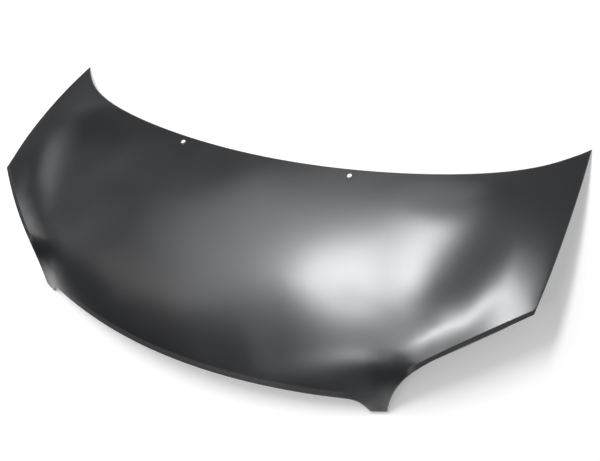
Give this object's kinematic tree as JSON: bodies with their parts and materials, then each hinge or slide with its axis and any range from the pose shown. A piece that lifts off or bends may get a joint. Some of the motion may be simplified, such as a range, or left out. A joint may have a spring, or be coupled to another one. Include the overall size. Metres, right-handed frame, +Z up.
{
  "type": "car bonnet",
  "caption": "Pressed steel car bonnet with a crowned plateau, side ridges and valleys, swept rear horns, a down-turned nose lip and pointed grille tabs, with its inner frame.",
  "frame": {"origin": "under the middle of the plan, on the surface that the two rear horns and the two front tabs rest on", "axes": "+X to the left side of the car, +Y rearwards to the windscreen edge, +Z up"},
  "size_m": [1.5276, 0.7498, 0.1156],
  "materials": {
    "black_primer": "satin",
    "zinc_steel": "satin",
    "mastic": "matte"
  },
  "bodies": {
    "root": {"outer_skin": "black_primer", "inner_frame": "black_primer", "hinge_reinforcement_left": "black_primer", "hinge_weld_nut_left_rear": "black_primer", "hinge_weld_nut_left_front": "black_primer", "hinge_reinforcement_right": "black_primer", "hinge_weld_nut_right_rear": "black_primer", "hinge_weld_nut_right_front": "black_primer", "latch_reinforcement": "black_primer", "striker_plate": "zinc_steel", "striker_loop": "zinc_steel", "striker_screw_right": "zinc_steel", "striker_weld_nut_right": "black_primer", "striker_screw_left": "zinc_steel", "striker_weld_nut_left": "black_primer", "mastic_pad_01": "mastic", "mastic_pad_02": "mastic", "mastic_pad_03": "mastic", "mastic_pad_04": "mastic", "mastic_pad_05": "mastic", "mastic_pad_06": "mastic", "mastic_pad_07": "mastic", "mastic_pad_08": "mastic", "mastic_pad_09": "mastic", "mastic_pad_10": "mastic", "mastic_pad_11": "mastic", "mastic_pad_12": "mastic", "mastic_pad_13": "mastic", "mastic_pad_14": "mastic", "mastic_pad_15": "mastic", "mastic_pad_16": "mastic", "mastic_pad_17": "mastic", "mastic_pad_18": "mastic", "mastic_pad_19": "mastic", "mastic_pad_20": "mastic"}
  },
  "joints": []
}
